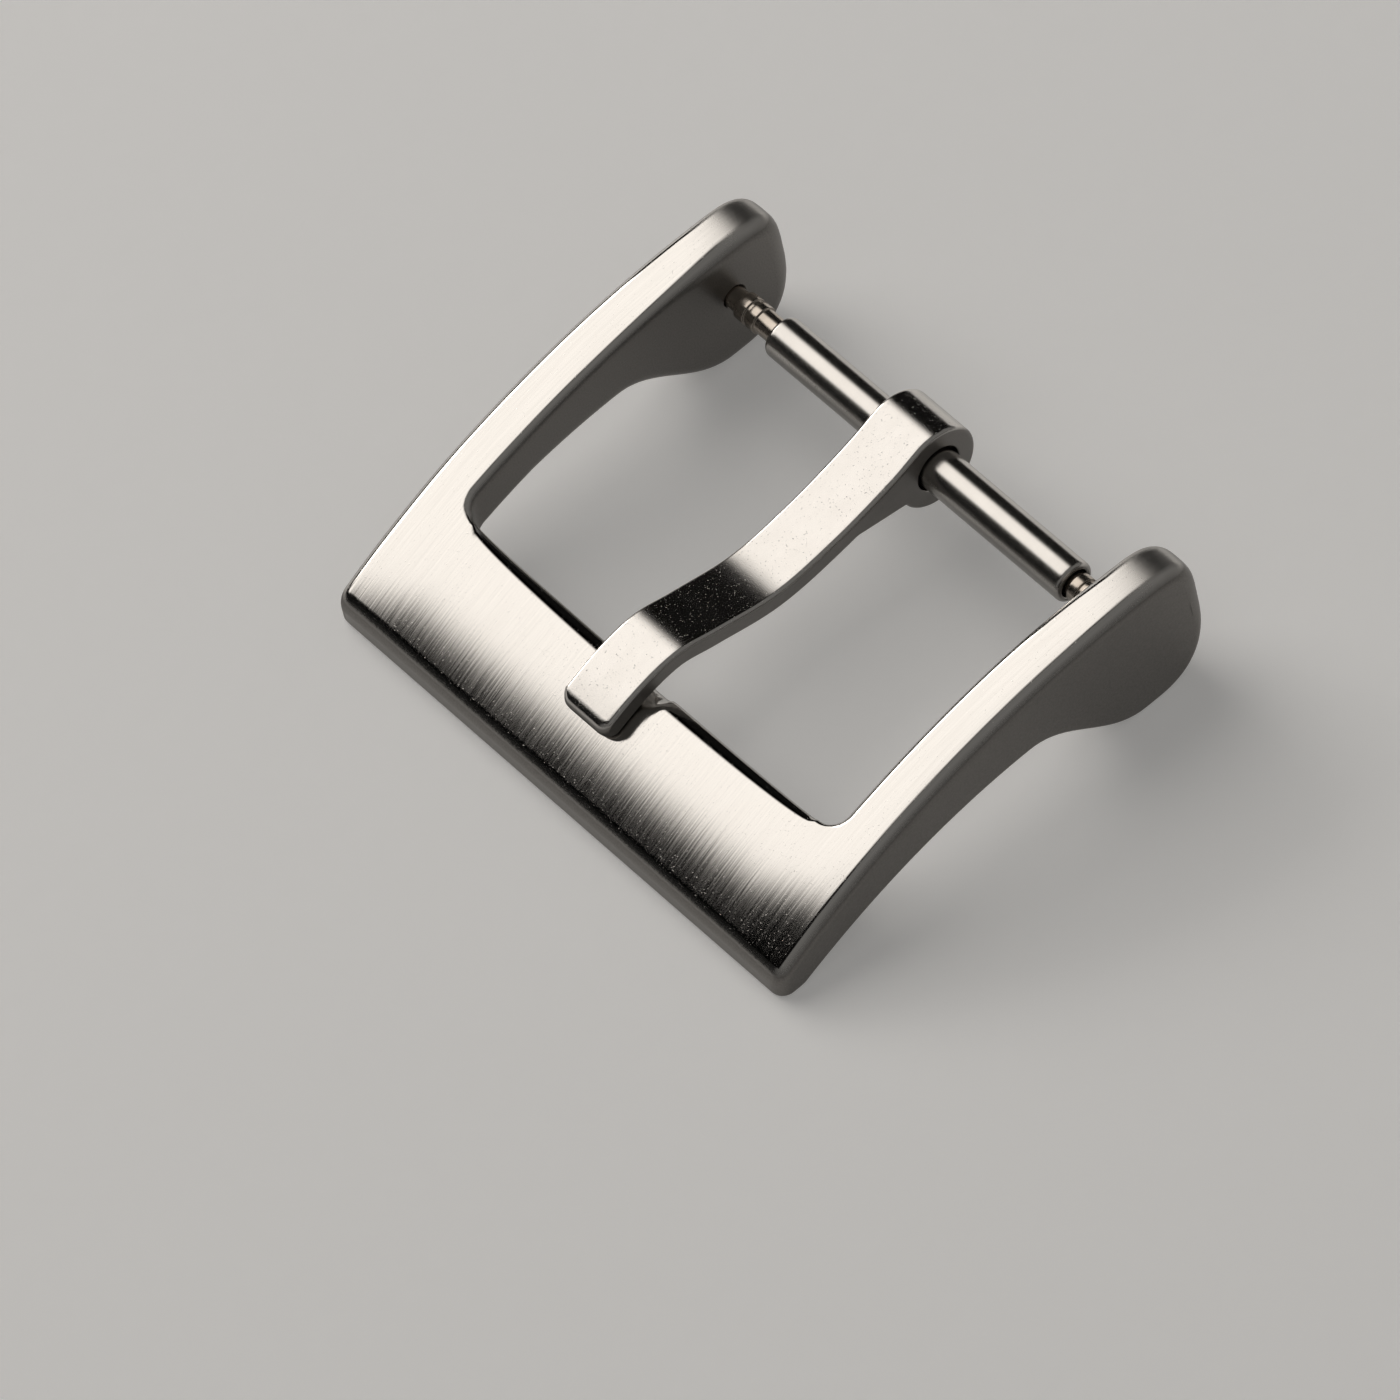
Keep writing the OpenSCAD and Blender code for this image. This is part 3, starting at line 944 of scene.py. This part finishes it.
# The buckle lies on a flat board of pale, uncoated card, which reaches far past the view. Its
# matt surface has a faint fibre and takes the buckle's shadow.
def board_shell():
    reach = 1600
    lines = np.linspace(-reach, reach, 33)
    bm = bmesh.new()
    add_sheet(bm, [[(x, y, 0) for y in lines] for x in lines])
    return finish_shell(bm, "board")


def matt_board():
    """Pale card without a coat, so next to no shine."""
    pale, paler = (0.86, 0.855, 0.845), (0.92, 0.915, 0.905)
    fibre_depth = 0.01
    material, nodes, links, shader, place = new_finish("matt_board")
    shader.inputs["Roughness"].default_value = 0.9
    shader.inputs["Specular IOR Level"].default_value = 0.1
    fibre = streaks(nodes, links, place, (1.5, 1.5, 1.5), 4.0)
    links.new(tint(nodes, links, fibre, pale, paler), shader.inputs["Base Color"])
    links.new(grind(nodes, links, fibre, fibre_depth), shader.inputs["Normal"])

    # The board looks a little paler than the lamps alone make it, also in the metal
    sight = nodes.new("ShaderNodeLightPath")
    seen = sight.outputs["Is Camera Ray"]
    for kind in ("Is Glossy Ray", "Is Transmission Ray"):
        either = nodes.new("ShaderNodeMath")
        either.operation = "MAXIMUM"
        links.new(seen, either.inputs[0])
        links.new(sight.outputs[kind], either.inputs[1])
        seen = either.outputs["Value"]
    links.new(spread(nodes, links, seen, 0, 0.18, 0, 1), shader.inputs["Emission Strength"])
    shader.inputs["Emission Color"].default_value = (1.0, 0.985, 0.96, 1)
    return material


board = board_shell()
board.data.materials.append(matt_board())


# A wide soft box hangs overhead to the left. It is a sheet of lit cloth, bright in the middle
# and dimmer towards its front, back and right edges. A second box stands at the far left. The room
# gives a little light from the right and next to none from the left.
cloth_height = 400
cloth_strength = 1.2
lamp_colour = (1.0, 0.965, 0.925)


def lit_cloth():
    """Light of the overhead cloth: full in the middle, falling off towards three of its edges."""
    material = bpy.data.materials.new("lit_cloth")
    material.use_nodes = True
    nodes, links = material.node_tree.nodes, material.node_tree.links
    nodes.remove(nodes["Principled BSDF"])
    place = nodes.new("ShaderNodeTexCoord").outputs["Object"]
    shares = []

    # The front, back and right edge, in shares of the height: the way inwards, a point on the
    # edge, and where the light starts and is full, measured inwards from that point
    edges = (
        ((-0.53, 0.848), (-0.732, -0.72), (-0.064, 0.053)),
        ((-0.3, -0.954), (-0.66, 0.52), (-0.19, 0.19)),
        ((-1, 0), (-0.3, 0), (-0.2, 0.18)),
    )
    for inward, edge, fade in edges:
        reach = nodes.new("ShaderNodeVectorMath")
        reach.operation = "DOT_PRODUCT"
        reach.inputs[1].default_value = (*inward, 0)
        links.new(place, reach.inputs[0])
        from_edge = (inward[0] * edge[0] + inward[1] * edge[1]) * cloth_height * MM
        start, full = (from_edge + share * cloth_height * MM for share in fade)
        shares.append(spread(nodes, links, reach.outputs["Value"], 0, 1, start, full))
        shares[-1].node.interpolation_type = "SMOOTHSTEP"
    light = shares[0]
    for share in shares[1:]:
        product = nodes.new("ShaderNodeMath")
        product.operation = "MULTIPLY"
        links.new(light, product.inputs[0])
        links.new(share, product.inputs[1])
        light = product.outputs["Value"]
    strength = nodes.new("ShaderNodeMath")
    strength.operation = "MULTIPLY"
    strength.inputs[1].default_value = cloth_strength
    links.new(light, strength.inputs[0])
    glow = nodes.new("ShaderNodeEmission")
    glow.inputs["Color"].default_value = (*lamp_colour, 1)
    links.new(strength.outputs["Value"], glow.inputs["Strength"])
    links.new(glow.outputs["Emission"], nodes["Material Output"].inputs["Surface"])
    return material


def cloth_shell():
    """The flat cloth, lit side down."""
    bm = bmesh.new()
    add_sheet(bm, [
        [(x * cloth_height, y * cloth_height, cloth_height) for y in np.linspace(-1.5, 1.3, 13)]
        for x in np.linspace(-2.1, -0.1, 11)
    ])
    sheet = finish_shell(bm, "overhead_cloth")
    sheet.data.flip_normals()
    return sheet


cloth = cloth_shell()
cloth.data.materials.append(lit_cloth())


def soft_box(name, middle, along, toward, size, radiance):
    """A flat lamp. along is the direction of its first side, and it shines towards toward."""
    lamp = bpy.data.lights.new(name, "AREA")
    lamp.shape = "RECTANGLE"
    lamp.size, lamp.size_y = (side * MM for side in size)

    # A lamp's power is four times its area for a radiance of one
    lamp.energy = 4 * radiance * lamp.size * lamp.size_y
    lamp.color = lamp_colour
    back = -Vector(toward).normalized()
    side = Vector(along).normalized()
    box = bpy.data.objects.new(name, lamp)
    turn = Matrix((side, back.cross(side), back)).transposed().to_4x4()
    box.matrix_world = Matrix.Translation(Vector(middle) * MM) @ turn
    bpy.context.scene.collection.objects.link(box)


soft_box(
    "left_box", middle=(-600, -60, 330), along=(0, 1, 0), toward=(0.87, 0.05, -0.48),
    size=(420, 260), radiance=2.4,
)


def studio_room():
    """The room: next to black on the left, and a dim grey on the right and overhead."""
    left_level, right_level = 0.004, 0.14
    dark_to, grey_from = -0.40, -0.12
    world = bpy.data.worlds.new("studio")
    world.use_nodes = True
    nodes, links = world.node_tree.nodes, world.node_tree.links
    apart = nodes.new("ShaderNodeSeparateXYZ")
    links.new(nodes.new("ShaderNodeTexCoord").outputs["Generated"], apart.inputs["Vector"])
    level = spread(nodes, links, apart.outputs["X"], left_level, right_level, dark_to, grey_from)
    links.new(level, nodes["Background"].inputs["Strength"])
    nodes["Background"].inputs["Color"].default_value = (1.0, 0.985, 0.96, 1)
    return world


bpy.context.scene.world = studio_room()


# A long lens looks down on the buckle from the front right, as in the photograph. It stands
# 600 mm away, so near and far parts of the buckle come out at almost the same scale.
camera_place = Vector((306.69, -179.33, 483.55))
camera_right = Vector((0.65061, 0.74622, -0.14080))
camera_up = Vector((-0.56128, 0.59712, 0.57310))
camera_back = Vector((0.51173, -0.29383, 0.80733))
lens = bpy.data.cameras.new("long_lens")
lens.lens = 486.8
lens.sensor_width = 36
lens.clip_start = 0.05
lens.clip_end = 10
camera = bpy.data.objects.new("camera", lens)
camera_turn = Matrix((camera_right, camera_up, camera_back)).transposed().to_4x4()
camera.matrix_world = Matrix.Translation(camera_place * MM) @ camera_turn
bpy.context.scene.collection.objects.link(camera)
bpy.context.scene.camera = camera
bpy.context.scene.view_settings.view_transform = "Standard"
